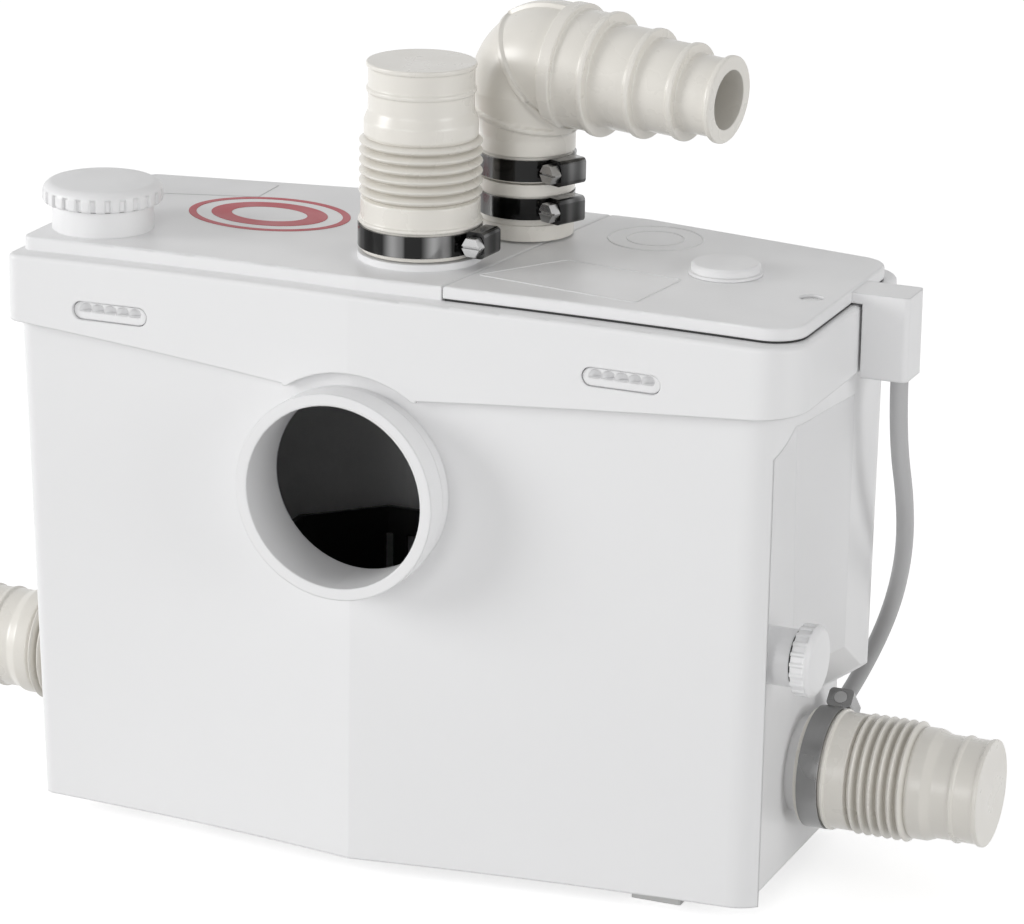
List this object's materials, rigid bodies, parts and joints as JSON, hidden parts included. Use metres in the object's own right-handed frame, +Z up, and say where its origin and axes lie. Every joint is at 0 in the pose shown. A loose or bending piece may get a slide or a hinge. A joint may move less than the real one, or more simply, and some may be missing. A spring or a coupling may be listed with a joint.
{
  "type": "macerator toilet pump",
  "caption": "Floor-standing macerator pump with a round pan inlet, sleeved side and top inlets and a swivelling discharge elbow.",
  "frame": {"origin": "on the floor under the middle of the pump, between its side inlet sleeves", "axes": "+X to the right seen from the pan inlet's side, +Y to the back, +Z up"},
  "size_m": [0.4722, 0.282, 0.3625],
  "materials": {
    "white_shell": "moulded white plastic, satin",
    "white_cover": "moulded white plastic, satin",
    "white_sheath": "smooth flexible sheath",
    "ivory_rubber": "moulded soft rubber, pearly",
    "pale_rubber": "moulded rubber, matt",
    "black_rubber": "moulded rubber, matt",
    "black_plastic": "moulded, matt",
    "grey_plastic": "moulded, satin",
    "filter_felt": "carbon felt",
    "bright_steel": "turned stainless steel",
    "core_steel": "stacked sheet",
    "copper_wire": "varnished wire",
    "clamp_steel": "rolled stainless band",
    "clamp_screw_black": "blackened steel"
  },
  "bodies": {
    "pump_unit": {"tank": "white_shell", "lid_casing": "white_shell", "electrical_cover": "white_cover", "rubber_feet": "pale_rubber", "lid_gasket": "black_rubber", "vent_grilles": "white_shell", "cover_seal": "black_rubber", "cover_screw": "bright_steel", "cable_gland": "black_rubber", "top_inlet_sleeve": "ivory_rubber", "left_inlet_sleeve": "ivory_rubber", "right_inlet_sleeve": "ivory_rubber", "outlet_coupling": "ivory_rubber", "valve_body": "grey_plastic", "left_flap_seat": "grey_plastic", "right_flap_seat": "grey_plastic", "cutter_basket": "black_plastic", "cutter_plate": "bright_steel", "pump_volute": "grey_plastic", "shaft_seal": "black_rubber", "motor_housing": "black_plastic", "motor_end_cap": "black_plastic", "front_bearing": "bright_steel", "rear_bearing": "bright_steel", "stator": "core_steel", "stator_windings": "copper_wire", "riser_pipe": "grey_plastic", "dip_tube": "grey_plastic", "pressure_switch": "black_plastic", "motor_capacitor": "grey_plastic", "terminal_block": "white_cover", "power_cord": "white_sheath", "power_cord_coil": "white_sheath", "power_plug": "white_sheath", "top_inlet_clamp": "clamp_steel", "left_inlet_clamp": "clamp_steel", "right_inlet_clamp": "clamp_steel", "outlet_clamp": "clamp_steel"},
    "vent_filter": {"vent_cap": "white_shell", "carbon_filter": "filter_felt"},
    "inspection_plug": {"inspection_seal": "black_rubber"},
    "inspection_lid": {"inspection_cap": "white_shell"},
    "drain_plug": {"drain_seal": "black_rubber"},
    "drain_lid": {"drain_cap": "white_shell"},
    "outlet_flap": {"discharge_flap": "black_rubber"},
    "left_flap": {"left_inlet_flap": "black_rubber"},
    "right_flap": {"right_inlet_flap": "black_rubber"},
    "rotor_group": {"motor_shaft": "bright_steel", "rotor": "core_steel", "macerator_blade": "bright_steel", "impeller": "black_plastic"},
    "plunger": {"switch_plunger": "grey_plastic"},
    "elbow": {"discharge_elbow": "ivory_rubber", "elbow_clamp": "clamp_steel"},
    "top_inlet_screw": {"top_inlet_clamp_screw": "clamp_screw_black"},
    "left_inlet_screw": {"left_inlet_clamp_screw": "clamp_screw_black"},
    "right_inlet_screw": {"right_inlet_clamp_screw": "clamp_screw_black"},
    "outlet_screw": {"outlet_clamp_screw": "clamp_screw_black"},
    "elbow_screw": {"elbow_clamp_screw": "clamp_screw_black"}
  },
  "joints": [
    {"name": "top_inlet_worm", "type": "hinge", "parent": "pump_unit", "child": "top_inlet_screw", "pos_m": [0.02169, -0.02461, 0.271], "axis": [-0.0872, -0.9962, 0], "continuous": true},
    {"name": "left_inlet_worm", "type": "hinge", "parent": "pump_unit", "child": "left_inlet_screw", "pos_m": [-0.1635, 0.03913, 0.06957], "axis": [0, -0.7071, 0.7071], "continuous": true},
    {"name": "right_inlet_worm", "type": "hinge", "parent": "pump_unit", "child": "right_inlet_screw", "pos_m": [0.1635, 0.03913, 0.06957], "axis": [0, 0.7071, -0.7071], "continuous": true},
    {"name": "outlet_worm", "type": "hinge", "parent": "pump_unit", "child": "outlet_screw", "pos_m": [0.03889, 0.02263, 0.276], "axis": [-0.4226, -0.9063, 0], "continuous": true},
    {"name": "elbow_worm", "type": "hinge", "parent": "elbow", "child": "elbow_screw", "pos_m": [0.03908, 0.02254, 0.2924], "axis": [-0.4226, -0.9063, 0], "continuous": true},
    {"name": "elbow_swivel", "type": "hinge", "parent": "pump_unit", "child": "elbow", "pos_m": [0.0166, 0.03302, 0.29], "axis": [0, 0, 1], "range_deg": [-40, 110]},
    {"name": "outlet_flap_hinge", "type": "hinge", "parent": "pump_unit", "child": "outlet_flap", "pos_m": [0.0044, 0.03302, 0.2853], "axis": [0, -1, 0], "range_deg": [0, 55]},
    {"name": "left_flap_hinge", "type": "hinge", "parent": "pump_unit", "child": "left_flap", "pos_m": [-0.1434, 0.01806, 0.0699], "axis": [0, -1, 0], "range_deg": [0, 40]},
    {"name": "right_flap_hinge", "type": "hinge", "parent": "pump_unit", "child": "right_flap", "pos_m": [0.1434, 0.01806, 0.0699], "axis": [0, 1, 0], "range_deg": [0, 40]},
    {"name": "rotor_spin", "type": "hinge", "parent": "pump_unit", "child": "rotor_group", "pos_m": [0.06, 0.003, 0.066], "axis": [1, 0, 0], "continuous": true},
    {"name": "plunger_travel", "type": "slide", "parent": "pump_unit", "child": "plunger", "axis": [0, 0, 1], "range_m": [0, 0.0015], "stiffness_N_per_m": 200},
    {"name": "vent_cap_pull", "type": "slide", "parent": "pump_unit", "child": "vent_filter", "axis": [0, 0, 1], "range_m": [0, 0.014]},
    {"name": "inspection_lift", "type": "slide", "parent": "pump_unit", "child": "inspection_plug", "axis": [0, 0, 1], "range_m": [0, 0.008]},
    {"name": "inspection_turn", "type": "hinge", "parent": "inspection_plug", "child": "inspection_lid", "pos_m": [-0.148, -0.03595, 0.275], "axis": [0, 0, 1], "range_deg": [0, 720]},
    {"name": "drain_lift", "type": "slide", "parent": "pump_unit", "child": "drain_plug", "axis": [1, 0, 0], "range_m": [0, 0.006]},
    {"name": "drain_turn", "type": "hinge", "parent": "drain_plug", "child": "drain_lid", "pos_m": [0.17, -0.0375, 0.116], "axis": [1, 0, 0], "range_deg": [0, 720]}
  ],
  "couplings": [
    {"joint": "inspection_lift", "follows": "inspection_turn", "m_per_rad": 0.0006366},
    {"joint": "drain_lift", "follows": "drain_turn", "m_per_rad": 0.0004774}
  ]
}
